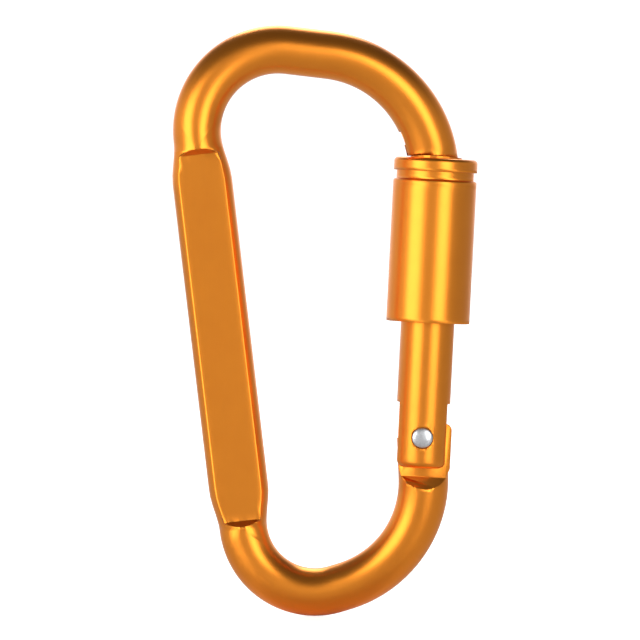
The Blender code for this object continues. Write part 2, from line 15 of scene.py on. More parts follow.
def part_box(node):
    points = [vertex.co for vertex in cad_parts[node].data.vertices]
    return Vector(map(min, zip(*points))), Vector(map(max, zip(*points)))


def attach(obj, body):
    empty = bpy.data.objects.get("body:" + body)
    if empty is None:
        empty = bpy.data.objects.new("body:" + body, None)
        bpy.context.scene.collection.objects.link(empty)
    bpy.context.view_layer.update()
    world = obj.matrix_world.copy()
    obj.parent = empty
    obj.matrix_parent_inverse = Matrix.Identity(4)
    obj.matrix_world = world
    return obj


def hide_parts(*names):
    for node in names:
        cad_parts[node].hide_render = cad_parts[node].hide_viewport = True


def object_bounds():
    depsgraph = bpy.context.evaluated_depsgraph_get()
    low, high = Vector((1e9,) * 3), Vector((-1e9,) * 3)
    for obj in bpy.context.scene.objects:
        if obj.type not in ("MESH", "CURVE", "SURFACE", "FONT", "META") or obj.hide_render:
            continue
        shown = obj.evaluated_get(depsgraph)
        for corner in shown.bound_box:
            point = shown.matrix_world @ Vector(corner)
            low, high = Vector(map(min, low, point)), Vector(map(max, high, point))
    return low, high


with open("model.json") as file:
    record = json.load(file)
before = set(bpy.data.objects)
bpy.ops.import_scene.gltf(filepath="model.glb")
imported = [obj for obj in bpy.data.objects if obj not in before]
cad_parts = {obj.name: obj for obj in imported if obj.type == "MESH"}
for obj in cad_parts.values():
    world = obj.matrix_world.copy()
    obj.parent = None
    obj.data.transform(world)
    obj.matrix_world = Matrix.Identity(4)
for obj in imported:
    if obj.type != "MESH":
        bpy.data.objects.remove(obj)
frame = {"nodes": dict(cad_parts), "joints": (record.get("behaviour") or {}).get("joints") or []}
cad_low, cad_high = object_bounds()

# ---------------------------------------------------------------------------------------------
# Camera: a long lens straight in front of the keyring and a touch above its middle, so the
# frame fills the picture from bow to bow with hardly any perspective.
VIEW_CENTRE = Vector((0.00570, 0.0, -0.03339))
VIEW_WIDTH = 0.08684
VIEW_ELEVATION = math.radians(1.5)
LENS_MM = 250
SENSOR_MM = 36

lens = bpy.data.cameras.new("long_lens")
lens.lens = LENS_MM
lens.sensor_width = SENSOR_MM
lens.clip_start = 0.01
lens.clip_end = 20
camera = bpy.data.objects.new("camera", lens)
bpy.context.scene.collection.objects.link(camera)
stand_off = VIEW_WIDTH * LENS_MM / SENSOR_MM
towards = Vector((0, -math.cos(VIEW_ELEVATION), math.sin(VIEW_ELEVATION)))
camera.location = VIEW_CENTRE + towards * stand_off
camera.rotation_euler = (math.pi / 2 - VIEW_ELEVATION, 0, 0)
bpy.context.scene.camera = camera
bpy.context.scene.view_settings.view_transform = "Standard"

# ---------------------------------------------------------------------------------------------
# Floor: a smooth white board with a faint sheen. The keyring's bottom bow stands on it.
FLOOR_SIZE = 6.0
FLOOR_GAP = 0.00005
FLOOR_TINT = (0.93, 0.93, 0.93, 1.0)
FLOOR_LIFT = 0.80
FLOOR_GLOW = 0.0
FLOOR_SHEEN = 0.25
FLOOR_ROUGH = (0.30, 0.38)
FLOOR_GRAIN = 900.0

floor_mesh = bpy.data.meshes.new("floor")
half_floor = FLOOR_SIZE / 2
floor_z = cad_low.z - FLOOR_GAP
floor_mesh.from_pydata(
    [(x * half_floor, y * half_floor, floor_z) for x, y in ((-1, -1), (1, -1), (1, 1), (-1, 1))],
    [], [(0, 1, 2, 3)],
)
floor = bpy.data.objects.new("floor", floor_mesh)
bpy.context.scene.collection.objects.link(floor)
white_board = bpy.data.materials.new("white_board")
white_board.use_nodes = True
nodes, links = white_board.node_tree.nodes, white_board.node_tree.links
board = nodes["Principled BSDF"]
board.inputs["Base Color"].default_value = FLOOR_TINT
board.inputs["Specular IOR Level"].default_value = FLOOR_SHEEN
board.inputs["Emission Color"].default_value = FLOOR_TINT
board_seen = nodes.new("ShaderNodeLightPath")
board_lift = nodes.new("ShaderNodeMapRange")
board_lift.inputs["To Min"].default_value = FLOOR_GLOW
board_lift.inputs["To Max"].default_value = FLOOR_LIFT
links.new(board_seen.outputs["Is Camera Ray"], board_lift.inputs["Value"])
links.new(board_lift.outputs["Result"], board.inputs["Emission Strength"])
board_grain = nodes.new("ShaderNodeTexNoise")
board_grain.inputs["Scale"].default_value = FLOOR_GRAIN
board_sheen = nodes.new("ShaderNodeMapRange")
board_sheen.inputs["To Min"].default_value = FLOOR_ROUGH[0]
board_sheen.inputs["To Max"].default_value = FLOOR_ROUGH[1]
links.new(board_grain.outputs["Fac"], board_sheen.inputs["Value"])
links.new(board_sheen.outputs["Result"], board.inputs["Roughness"])
floor_mesh.materials.append(white_board)

# ---------------------------------------------------------------------------------------------
# Light: two tall softboxes, left and right of the camera, in a dim grey room with a dark
# ceiling and a white wall behind the keyring. They make the two stripes down every round part.
SOFTBOXES = (
    # name, degrees from the camera, degrees up, width, height, distance, watts
    ("left_softbox", -47, 2, 0.42, 0.62, 0.60, 2.15),
    ("right_softbox", 30, 2, 0.31, 0.62, 0.60, 1.75),
)
TOP_BOX = ("top_softbox", 180, 44, 0.34, 0.34, 0.7, 1.1)
ROOM_LEFT = 0.82
ROOM_RIGHT = 0.45
ROOM_HIGH = 0.20
HIGH_START = 0.25
HIGH_FULL = 0.75
WALL_WHITE = 1.15
WALL_START = 0.62
WALL_FULL = 0.92

for name, azimuth, up, width, height, distance, watts in (*SOFTBOXES, TOP_BOX):
    box = bpy.data.lights.new(name, "AREA")
    box.shape = "RECTANGLE"
    box.size = width
    box.size_y = height
    box.energy = watts
    lamp = bpy.data.objects.new(name, box)
    bpy.context.scene.collection.objects.link(lamp)
    turn, rise = math.radians(azimuth), math.radians(up)
    aim = Vector((
        math.sin(turn) * math.cos(rise), -math.cos(turn) * math.cos(rise), math.sin(rise),
    ))
    lamp.location = VIEW_CENTRE + aim * distance
    lamp.rotation_mode = "QUATERNION"
    lamp.rotation_quaternion = aim.to_track_quat("Z", "Y")
    lamp.visible_camera = False

room = bpy.data.worlds.new("studio_room")
bpy.context.scene.world = room
room.use_nodes = True
nodes, links = room.node_tree.nodes, room.node_tree.links
room_light = nodes["Background"]
room_light.inputs["Color"].default_value = (1.0, 1.0, 1.0, 1.0)
facing = nodes.new("ShaderNodeTexCoord")
split = nodes.new("ShaderNodeSeparateXYZ")
wall = nodes.new("ShaderNodeMapRange")
wall.interpolation_type = "SMOOTHSTEP"
wall.inputs["From Min"].default_value = WALL_START
wall.inputs["From Max"].default_value = WALL_FULL
wall.inputs["To Max"].default_value = WALL_WHITE
seen = nodes.new("ShaderNodeLightPath")
backdrop = nodes.new("ShaderNodeMix")
backdrop.data_type = "FLOAT"
backdrop.inputs["B"].default_value = WALL_WHITE
links.new(facing.outputs["Generated"], split.inputs["Vector"])
sides = nodes.new("ShaderNodeMapRange")
sides.inputs["From Min"].default_value = -1.0
sides.inputs["To Min"].default_value = ROOM_LEFT
sides.inputs["To Max"].default_value = ROOM_RIGHT
links.new(split.outputs["X"], sides.inputs["Value"])
ceiling = nodes.new("ShaderNodeMapRange")
ceiling.interpolation_type = "SMOOTHSTEP"
ceiling.inputs["From Min"].default_value = HIGH_START
ceiling.inputs["From Max"].default_value = HIGH_FULL
ceiling.inputs["To Min"].default_value = 1.0
ceiling.inputs["To Max"].default_value = ROOM_HIGH
links.new(split.outputs["Z"], ceiling.inputs["Value"])
grey = nodes.new("ShaderNodeMath")
grey.operation = "MULTIPLY"
links.new(sides.outputs["Result"], grey.inputs[0])
links.new(ceiling.outputs["Result"], grey.inputs[1])
links.new(grey.outputs["Value"], wall.inputs["To Min"])
links.new(split.outputs["Y"], wall.inputs["Value"])
links.new(seen.outputs["Is Camera Ray"], backdrop.inputs["Factor"])
links.new(wall.outputs["Result"], backdrop.inputs["A"])
links.new(backdrop.outputs["Result"], room_light.inputs["Strength"])

# ---------------------------------------------------------------------------------------------
# Frame: one round aluminium rod, bent through four corners and pressed flat down its spine. Its
# lower end is milled to a tongue for the hinge, and its nose has a slot for the gate's latch.
FRAME_LENGTH = 0.0801
FRAME_WIDTH = 0.0386
SPINE_BEND = 0.01098
NOSE_BEND = 0.01623
FOOT_BEND = 0.00978
HINGE_BEND = 0.01506
SPINE_CORNER = (0.0017, 0.00168)
NOSE_CORNER = (0.0036, 0.00563)
NOSE_END = (0.00327, 0.0205)
FOOT_CORNER = (0.01089, 0.00029)
HINGE_CORNER = (0.00427, 0.00736)
HINGE_STEM_INSET = 0.0048
SPINE_WIDTH = 0.0081
SPINE_THICKNESS = 0.0045
SPINE_SQUARENESS = 2.2
ROUND = 2.0
FLAT_TOP_GAP = 0.0020
FLAT_FOOT_GAP = 0.0012
FLAT_EDGE = 0.00010
SHOULDER_LENGTH = 0.0056
END_WALL_ANGLE = math.radians(38)
WALL_STEPS = 8
SPINE_STEP = 0.0012
CREST_GAP = 0.00001
END_SWELL = 0.00018
SWELL_LENGTH = 0.020
RELAX_LENGTH = 0.004
ARC_STEP = math.radians(2.5)
SIDE_STEPS = 14
FACE_STEPS = 10
EVEN_TURN = math.radians(45)
TONGUE_THICKNESS = 0.0030
TONGUE_TOP = 0.0019
TONGUE_INNER_INSET = 0.000575
TONGUE_OUTER_PROUD = 0.00035
TONGUE_CORNER = 0.0008
TONGUE_CAM = 0.0014
TONGUE_BLEND = 0.0012
TONGUE_ROOT_INSET = 0.00065
STEP_GAP = 0.00016
STEP_ANGLE = math.radians(43)
CHEEK_GAP = 0.0001
TONGUE_HOLE = 0.00216
HOLE_SIDES = 32
NOSE_SPREAD = math.radians(12)
LATCH_OFFSET = -0.0006
NECK_SLOT = 0.00134
NECK_HEIGHT = 0.00165
HEAD_SLOT = 0.00224
HEAD_WIDTH = 0.0026
HEAD_HEIGHT = 0.0015
LATCH_GAP = 0.00012
SEAM_GAP = 0.00003
CUT_REACH = 1.5
CORNER_STEPS = 10
SECTOR_STEP = math.radians(1)
WELD = 0.000001
EDGE_ROUND = 0.00007
EDGE_ANGLE = math.radians(30)

joints = {joint["name"]: joint for joint in frame["joints"]}
pivot = Vector(joints["gate_hinge"]["pos_m"]).xz
gate_axis = Vector(joints["sleeve_slide"]["axis"]).normalized()
gate_tilt = math.atan2(gate_axis.x, gate_axis.z)
hinge_place = Matrix.Translation((pivot.x, 0, pivot.y)) @ Matrix.Rotation(gate_tilt, 4, "Y")
rod_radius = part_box("frame")[1].y
cut_reach = rod_radius * CUT_REACH
top_edge = rod_radius * 2
bottom_edge = top_edge - FRAME_LENGTH
left_edge = -(SPINE_BEND + rod_radius)
right_edge = left_edge + FRAME_WIDTH

# the gate's radius, and the height of the seam between the nose and the sleeve's top
GATE_DIAMETER = 0.00725
GATE_FOOT = 0.0041
GATE_FOOT_ROUND = 0.0008
SEAM_INSET = 0.00293
SEAM_DROP = 0.01799
gate_radius = GATE_DIAMETER / 2
foot_corner = Vector((gate_radius - GATE_FOOT_ROUND, GATE_FOOT - GATE_FOOT_ROUND))
tongue_step = foot_corner.length + GATE_FOOT_ROUND + STEP_GAP
seam = Vector((right_edge - SEAM_INSET, top_edge - SEAM_DROP))
gate_length = (seam - pivot).length


def keep(name, mesh, finish, place=None):
    """Put a finished mesh in the scene, smooth shaded, with its material."""
    piece = bpy.data.objects.new(name, mesh)
    bpy.context.scene.collection.objects.link(piece)
    if place is not None:
        piece.matrix_world = place
    mesh.materials.clear()
    mesh.materials.append(finish)
    for face in mesh.polygons:
        face.use_smooth = True
        face.material_index = 0
    return piece


def worn_in(blank):
    """The mesh of an object with its modifiers applied; the object is then removed."""
    bpy.context.view_layer.update()
    depsgraph = bpy.context.evaluated_depsgraph_get()
    mesh = bpy.data.meshes.new_from_object(blank.evaluated_get(depsgraph))
    bpy.data.objects.remove(blank, do_unlink=True)
    return mesh


def blank_of(mesh):
    """A bare object to put modifiers on."""
    blank = bpy.data.objects.new(mesh.name, mesh)
    bpy.context.scene.collection.objects.link(blank)
    return blank


def machined(mesh, cuts, edge=None):
    """The mesh after every cut or join in turn, with its sharp edges broken."""
    blank = blank_of(mesh)
    tools = []
    for tool, operation in cuts:
        tools.append(blank_of(tool))
        step = blank.modifiers.new("cut", "BOOLEAN")
        step.operation = operation
        step.object = tools[-1]
        step.solver = "EXACT"
    shaped = worn_in(blank)
    for tool in tools:
        bpy.data.objects.remove(tool, do_unlink=True)
    return broken_edges(shaped, edge or EDGE_ROUND)


def broken_edges(mesh, width):
    """Round every sharp edge of a mesh over a narrow width."""
    shape = bmesh.new()
    shape.from_mesh(mesh)
    bmesh.ops.remove_doubles(shape, verts=shape.verts, dist=WELD)
    bmesh.ops.recalc_face_normals(shape, faces=shape.faces)
    shape.to_mesh(mesh)
    shape.free()
    blank = blank_of(mesh)
    rounding = blank.modifiers.new("edges", "BEVEL")
    rounding.width = width
    rounding.segments = 2
    rounding.limit_method = "ANGLE"
    rounding.angle_limit = EDGE_ANGLE
    rounding.use_clamp_overlap = False
    rounding.miter_outer = "MITER_ARC"
    blank.modifiers.new("level_faces", "WEIGHTED_NORMAL")
    return worn_in(blank)


def arc(centre, radius, start, end, steps):
    """Points along an arc, both ends included; angles run from +X towards +Z."""
    turns = [start + (end - start) * i / steps for i in range(steps + 1)]
    return [Vector(centre) + radius * Vector((math.cos(a), math.sin(a))) for a in turns]


def plate(name, outline, thickness):
    """An outline in the XZ plane, thickened evenly about Y = 0."""
    shape = bmesh.new()
    half = thickness / 2
    near = [shape.verts.new((x, -half, z)) for x, z in outline]
    far = [shape.verts.new((x, half, z)) for x, z in outline]
    shape.faces.new(near)
    shape.faces.new(far[::-1])
    for i in range(len(outline)):
        j = (i + 1) % len(outline)
        shape.faces.new((near[j], near[i], far[i], far[j]))
    bmesh.ops.recalc_face_normals(shape, faces=shape.faces)
    mesh = bpy.data.meshes.new(name)
    shape.to_mesh(mesh)
    shape.free()
    return mesh


def sector(name, radii, angles, thickness):
    """A plate between two arcs about the hinge, its angles measured from the closed gate."""
    low, high = radii
    start, end = (math.pi / 2 - gate_tilt - angle for angle in angles)
    steps = math.ceil(abs(end - start) / SECTOR_STEP)
    outline = arc(pivot, low, start, end, steps) + arc(pivot, high, end, start, steps)
    return plate(name, outline, thickness)


def pin(name, radius, length, sides, y=0):
    """A round pin along Y."""
    shape = bmesh.new()
    bmesh.ops.create_cone(
        shape, cap_ends=True, segments=sides, radius1=radius, radius2=radius, depth=length,
        matrix=Matrix.Translation((0, y, 0)) @ Matrix.Rotation(math.pi / 2, 4, "X"),
    )
    mesh = bpy.data.meshes.new(name)
    shape.to_mesh(mesh)
    shape.free()
    return mesh


def bend(before, corner, after, radius):
    """One bend of the rod as (point, direction) pairs, both ends included."""
    back = (before - corner).normalized()
    on = (after - corner).normalized()
    half = back.angle(on) / 2
    centre = corner + (back + on).normalized() * radius / math.sin(half)
    first = corner + back * radius / math.tan(half) - centre
    sweep = math.pi - 2 * half
    steps = math.ceil(sweep / ARC_STEP)
    turns = [Matrix.Rotation(sweep * i / steps, 2) for i in range(steps + 1)]
    return [(centre + turn @ first, turn @ -back) for turn in turns]


def smooth_step(share):
    """Nought to one with level ends."""
    share = min(1, max(0, share))
    return share * share * (3 - 2 * share)


def rod_line():
    """The rod's middle line as (point, direction) stretches: nose, four bends, spine, stem."""
    nose = Vector((right_edge - NOSE_END[0], top_edge - NOSE_END[1]))
    stem = Vector((right_edge - HINGE_STEM_INSET, pivot.y))
    corners = [
        nose,
        Vector((right_edge - NOSE_CORNER[0], top_edge - NOSE_CORNER[1])),
        Vector((left_edge + SPINE_CORNER[0], top_edge - SPINE_CORNER[1])),
        Vector((left_edge + FOOT_CORNER[0], bottom_edge + FOOT_CORNER[1])),
        Vector((right_edge - HINGE_CORNER[0], bottom_edge + HINGE_CORNER[1])),
        stem,
    ]
    radii = (NOSE_BEND, SPINE_BEND, FOOT_BEND, HINGE_BEND)
    bends = [bend(*corners[k:k + 3], radius) for k, radius in enumerate(radii)]
    return (nose, bends[0][0][1]), bends, (stem, bends[3][-1][1])


def section(half_width, power, flat, turn):
    """The rod's outline across its length: two round sides, and two faces that may be flat.

    turn is the angle at which each side meets a face, and flat the height of the flats, or
    None where the rod is still round.
    """
    def around(angle):
        side, face = math.cos(angle), math.sin(angle)
        return Vector((
            half_width * math.copysign(abs(side) ** power, side),
            rod_radius * math.copysign(abs(face) ** power, face),
        ))

    nib = FLAT_EDGE / rod_radius
    side = [around(turn * (2 * k / SIDE_STEPS - 1) * (1 - nib / turn)) for k in range(SIDE_STEPS + 1)]
    if flat is None:
        first = [around(turn)]
        face = [
            around(turn + nib + (math.pi - 2 * turn - 2 * nib) * k / FACE_STEPS)
            for k in range(FACE_STEPS + 1)
        ]
    else:
        edge = Vector((around(turn).x, flat))
        run = max(edge.x - FLAT_EDGE, edge.x / 2)
        face = [Vector((run * (1 - 2 * k / FACE_STEPS), flat)) for k in range(FACE_STEPS + 1)]
        first = [(side[-1] + 2 * edge + face[0]) / 4]
    half = side + first + face + [Vector((-first[0].x, first[0].y))]
    return half + [-point for point in half]


def rod_mesh():
    """The rod with its pressed flats, as one loft from the nose to the hinge."""
    first, bends, last = rod_line()
    top, down = bends[1][-1]
    length = (bends[2][0][0] - top).length
    half = SPINE_THICKNESS / 2
    start, end = FLAT_TOP_GAP, length - FLAT_FOOT_GAP
    crest = rod_radius - CREST_GAP
    rise = (crest - half) * math.tan(END_WALL_ANGLE)
    shares = [k / WALL_STEPS for k in range(WALL_STEPS + 1)]
    spots = [start - rise * (1 - share) for share in shares]
    count = math.ceil((end - start) / SPINE_STEP)
    spots += [start + (end - start) * k / count for k in range(1, count)]
    spots += [end + rise * share for share in shares]
    stations = [(*spot, None) for spot in (first, *bends[0], *bends[1])]
    if spots[0] > 0:
        stations.append((top + down * spots[0] / 2, down, None))
    stations += [(top + down * along, down, along) for along in spots]
    stations += [(*spot, None) for spot in (*bends[2], *bends[3], last)]
    walk = [0.0]
    for here, there in zip(stations, stations[1:]):
        walk.append(walk[-1] + (there[0] - here[0]).length)
    pressed_walk = [w for w, station in zip(walk, stations) if station[2] is not None]
    shape = bmesh.new()
    rings = []
    for (point, along, spot), done in zip(stations, walk):
        across = Vector((-along.y, along.x))
        inside = (point - top).dot(down)
        on_spine = abs((point - top).cross(down)) < WELD
        pressed = smooth_step(min(inside, length - inside) / SHOULDER_LENGTH) if on_spine else 0
        swelling = smooth_step(1 - min(done, walk[-1] - done) / SWELL_LENGTH)
        half_width = rod_radius + (SPINE_WIDTH / 2 - rod_radius) * pressed + END_SWELL * swelling
        power = 2 / (ROUND + (SPINE_SQUARENESS - ROUND) * pressed)
        if spot is None:
            away = min(abs(done - pressed_walk[0]), abs(done - pressed_walk[-1]))
            crest_turn = math.asin(crest / rod_radius)
            turn = crest_turn + (EVEN_TURN - crest_turn) * smooth_step(away / RELAX_LENGTH)
            flat = None
        else:
            flat = half + max(start - spot, spot - end, 0) / math.tan(END_WALL_ANGLE)
            flat = min(flat, crest)
            turn = math.asin((flat / rod_radius) ** (1 / power))
        rings.append([
            shape.verts.new((point.x + across.x * w, h, point.y + across.y * w))
            for w, h in section(half_width, power, flat, turn)
        ])
    for one, other in zip(rings, rings[1:]):
        for i in range(len(one)):
            j = (i + 1) % len(one)
            shape.faces.new((one[i], one[j], other[j], other[i]))
    shape.faces.new(rings[0])
    shape.faces.new(rings[-1])
    bmesh.ops.recalc_face_normals(shape, faces=shape.faces)
    mesh = bpy.data.meshes.new("frame_rod")
    shape.to_mesh(mesh)
    shape.free()
    return mesh


def tongue():
    """The milled tongue, pressed a little wider than the rod, with its cam corner."""
    inner, outer = gate_radius - TONGUE_INNER_INSET, gate_radius + TONGUE_OUTER_PROUD
    foot = -tongue_step + TONGUE_BLEND
    root = -tongue_step - TONGUE_BLEND
    stem = right_edge - HINGE_STEM_INSET - pivot.x - root * math.tan(gate_tilt)
    turn = (outer - TONGUE_CORNER, TONGUE_TOP - TONGUE_CORNER)
    outline = [
        (stem - rod_radius + TONGUE_ROOT_INSET, root),
        (-inner, foot),
        (-inner, TONGUE_TOP - TONGUE_CAM),
        (TONGUE_CAM - inner, TONGUE_TOP),
        *reversed(arc(turn, TONGUE_CORNER, 0, math.pi / 2, CORNER_STEPS)),
        (outer, foot),
        (stem + rod_radius - TONGUE_ROOT_INSET, root),
    ]
    mesh = plate("tongue", outline, TONGUE_THICKNESS + 2 * CHEEK_GAP)
    mesh.transform(hinge_place)
    return mesh


def step_cut(side):
    """The metal milled off one face of the rod's end, down to a sloped step."""
    half = TONGUE_THICKNESS / 2
    foot = -tongue_step - (cut_reach - half) * math.tan(STEP_ANGLE)
    top = TONGUE_TOP + rod_radius
    outline = [
        (half * side, -tongue_step), (half * side, top),
        (cut_reach * side, top), (cut_reach * side, foot),
    ]
    mesh = plate("step", outline, cut_reach * 2)
    mesh.transform(hinge_place @ Matrix.Rotation(math.pi / 2, 4, "Z"))
    return mesh


def anodised(name, grain, marks=0.0):
    """Satin anodised aluminium in orange.

    grain stretches the fine lines left by drawing, brushing or turning along one axis, and
    marks is how deep those lines are.
    """
    finish = bpy.data.materials.new(name)
    finish.use_nodes = True
    nodes, links = finish.node_tree.nodes, finish.node_tree.links
    shader = nodes["Principled BSDF"]
    shader.inputs["Metallic"].default_value = 1.0
    shader.inputs["Specular Tint"].default_value = ORANGE_RIM
    shader.inputs["Coat Weight"].default_value = OXIDE
    shader.inputs["Coat Roughness"].default_value = OXIDE_ROUGH
    place = nodes.new("ShaderNodeTexCoord")
    line_up = nodes.new("ShaderNodeMapping")
    line_up.inputs["Rotation"].default_value = grain[0]
    line_up.inputs["Scale"].default_value = grain[1]
    links.new(place.outputs["Object"], line_up.inputs["Vector"])

    clouds = nodes.new("ShaderNodeTexNoise")
    clouds.inputs["Scale"].default_value = CLOUD_SCALE
    clouds.inputs["Detail"].default_value = 3.0
    links.new(place.outputs["Object"], clouds.inputs["Vector"])
    strokes = nodes.new("ShaderNodeTexNoise")
    strokes.inputs["Scale"].default_value = 1.0
    strokes.inputs["Detail"].default_value = 4.0
    links.new(line_up.outputs["Vector"], strokes.inputs["Vector"])
    peen = nodes.new("ShaderNodeTexNoise")
    peen.inputs["Scale"].default_value = PEEN_SCALE
    peen.inputs["Detail"].default_value = 2.0
    links.new(place.outputs["Object"], peen.inputs["Vector"])

    dye = nodes.new("ShaderNodeValToRGB")
    dye.color_ramp.elements[0].position = NOISE_LOW
    dye.color_ramp.elements[0].color = ORANGE_DEEP
    dye.color_ramp.elements[1].position = NOISE_HIGH
    dye.color_ramp.elements[1].color = ORANGE_LIGHT
    blend = nodes.new("ShaderNodeMix")
    blend.data_type = "FLOAT"
    blend.inputs["Factor"].default_value = STROKE_SHARE
    links.new(clouds.outputs["Fac"], blend.inputs["A"])
    links.new(strokes.outputs["Fac"], blend.inputs["B"])
    links.new(blend.outputs["Result"], dye.inputs["Fac"])
    links.new(dye.outputs["Color"], shader.inputs["Base Color"])

    satin = nodes.new("ShaderNodeMapRange")
    satin.inputs["From Min"].default_value = NOISE_LOW
    satin.inputs["From Max"].default_value = NOISE_HIGH
    satin.inputs["To Min"].default_value = SATIN_LOW
    satin.inputs["To Max"].default_value = SATIN_HIGH
    links.new(strokes.outputs["Fac"], satin.inputs["Value"])
    links.new(satin.outputs["Result"], shader.inputs["Roughness"])

    etch = nodes.new("ShaderNodeBump")
    etch.inputs["Strength"].default_value = ETCH_STRENGTH
    etch.inputs["Distance"].default_value = ETCH_DEPTH
    links.new(peen.outputs["Fac"], etch.inputs["Height"])
    lines = nodes.new("ShaderNodeBump")
    lines.inputs["Strength"].default_value = 1.0
    lines.inputs["Distance"].default_value = marks
    links.new(strokes.outputs["Fac"], lines.inputs["Height"])
    links.new(etch.outputs["Normal"], lines.inputs["Normal"])
    links.new(lines.outputs["Normal"], shader.inputs["Normal"])
    return finish


ORANGE_DEEP = (0.92, 0.275, 0.011, 1.0)
ORANGE_LIGHT = (0.95, 0.295, 0.013, 1.0)
ORANGE_RIM = (1.0, 0.86, 0.72, 1.0)
NOISE_LOW = 0.3
NOISE_HIGH = 0.7
STROKE_SHARE = 0.3
OXIDE = 0.5
OXIDE_ROUGH = 0.32
CLOUD_SCALE = 260.0
PEEN_SCALE = 14000.0
SATIN_LOW = 0.28
SATIN_HIGH = 0.33
ETCH_STRENGTH = 0.25
ETCH_DEPTH = 0.000004
DRAWN_LINES = (9000.0, 9000.0, 260.0)
FRAME_MARKS = 0.00000008

spine = rod_line()[1][1][-1][1]
spine_lean = math.atan2(spine.x, -spine.y)
drawn = anodised("orange_drawn_rod", ((0, -spine_lean, 0), DRAWN_LINES), FRAME_MARKS)

COLLAR_ROUND = 0.00055
sleeve_radius = (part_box("locking_sleeve")[1].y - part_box("locking_sleeve")[0].y) / 2
collar_reach = COLLAR_ROUND + math.hypot(sleeve_radius - COLLAR_ROUND, gate_length - COLLAR_ROUND)
nose_reach = collar_reach + SEAM_GAP
neck_top = collar_reach + NECK_HEIGHT
head_turn = math.atan2(LATCH_OFFSET + HEAD_WIDTH / 2 + LATCH_GAP, neck_top)
head_corner = math.hypot(HEAD_WIDTH / 2 - LATCH_OFFSET, neck_top + HEAD_HEIGHT)
hole = pin("hole", TONGUE_HOLE / 2, TONGUE_THICKNESS * 2, HOLE_SIDES)
hole.transform(Matrix.Translation((pivot.x, 0, pivot.y)))
frame_piece = keep("bent_frame", machined(rod_mesh(), (
    (tongue(), "UNION"),
    (step_cut(-1), "DIFFERENCE"),
    (step_cut(1), "DIFFERENCE"),
    (hole, "DIFFERENCE"),
    (sector("end", (nose_reach - rod_radius, nose_reach), (NOSE_SPREAD, -NOSE_SPREAD),
            cut_reach * 2), "DIFFERENCE"),
    (sector("neck", (nose_reach - rod_radius, neck_top), (head_turn, -NOSE_SPREAD),
            NECK_SLOT), "DIFFERENCE"),
    (sector("head", (neck_top - LATCH_GAP, head_corner + LATCH_GAP), (head_turn, -NOSE_SPREAD),
            HEAD_SLOT), "DIFFERENCE"),
)), drawn)
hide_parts("frame")
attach(frame_piece, "frame_body")

# ---------------------------------------------------------------------------------------------
# Gate: an aluminium tube, forked at its foot to straddle the tongue, with a screw thread above
# for the sleeve. It is turned, threaded, slotted and drilled, then anodised with the frame.
GATE_SIDES = 72
BAND = 0.0005
BORE_DIAMETER = 0.0038
BORE_DEPTH = 0.0170
FORK_DEPTH = 0.00465
THREAD_INSET = 0.000125
THREAD_DEPTH = 0.00045
THREAD_PITCH = 0.0010
TOOTH_BASE = 0.00062
TOOTH_CREST = 0.00018
GATE_TOP_DROP = 0.0013
STEM_BORE = 0.0031
STEM_DEPTH = 0.0046
NUT_DROP = 0.0068
SLEEVE_DROP = 0.0070
RIVET_HOLE = 0.0021
RIVET_SEAT = 0.0029
RIVET_SIDES = 48
RIVET_SEAT_DEPTH = 0.000425
TURNED_LINES = (700.0, 700.0, 14000.0)
GATE_MARKS = 0.00000006


def circle(shape, radius, height, sides):
    """One circle of a turned piece, or the single point where it meets the axis."""
    if radius == 0:
        return [shape.verts.new((0, 0, height))]
    turn = 2 * math.pi / sides
    return [
        shape.verts.new((radius * math.cos(turn * i), radius * math.sin(turn * i), height))
        for i in range(sides)
    ]


def skin(shape, one, other):
    """Faces between two neighbouring circles of a turned piece."""
    sides = max(len(one), len(other))
    for i in range(sides):
        j = (i + 1) % sides
        ring = [one[i % len(one)], one[j % len(one)], other[j % len(other)], other[i % len(other)]]
        shape.faces.new(list(dict.fromkeys(ring)))


def cut_thread(shape, low, high, root, crest, phase):
    """A helical tooth between two circles of radius root; it fades in and out at its ends."""
    sides = len(low)
    bottom = low[0].co.z + TOOTH_BASE
    start = phase + math.ceil((bottom - phase) / THREAD_PITCH) * THREAD_PITCH
    turns = math.floor((high[0].co.z - TOOTH_BASE - start) / THREAD_PITCH)
    steps = turns * sides
    fade = sides / 3
    tooth = []
    for i in range(steps + 1):
        angle = 2 * math.pi * i / sides
        middle = start + THREAD_PITCH * i / sides
        tip = root + (crest - root) * min(1, i / fade, (steps - i) / fade)
        rows = [
            (root, -TOOTH_BASE / 2), (tip, -TOOTH_CREST / 2),
            (tip, TOOTH_CREST / 2), (root, TOOTH_BASE / 2),
        ]
        tooth.append([
            shape.verts.new((r * math.cos(angle), r * math.sin(angle), middle + h)) for r, h in rows
        ])
    for here, there in zip(tooth, tooth[1:]):
        for k in range(3):
            shape.faces.new((here[k], there[k], there[k + 1], here[k + 1]))
    for i in range(steps - sides):
        shape.faces.new((tooth[i][3], tooth[i + 1][3], tooth[i + 1 + sides][0], tooth[i + sides][0]))
    # the plain strips below the first turn and above the last one each meet the tooth's end once
    last = steps - sides
    for i in range(sides):
        j = (i + 1) % sides
        below = tooth[0] if j == 0 else []
        above = tooth[steps][::-1] if i == 0 else []
        shape.faces.new((low[i], low[j], *below, tooth[i + 1][0], tooth[i][0]))
        shape.faces.new((tooth[last + i][3], tooth[last + i + 1][3], high[j], high[i], *above))


def in_bands(profile, thread_start):
    """The profile with its long straights cut in short bands, all but the threaded one."""
    banded = []
    for here, there in zip(profile, profile[1:]):
        run = Vector(there) - Vector(here)
        count = 1 if here == thread_start else max(1, math.ceil(run.length / BAND))
        banded.append(here)
        banded += [tuple(Vector(here) + run * k / count) for k in range(1, count)]
    return [*banded, profile[-1]]


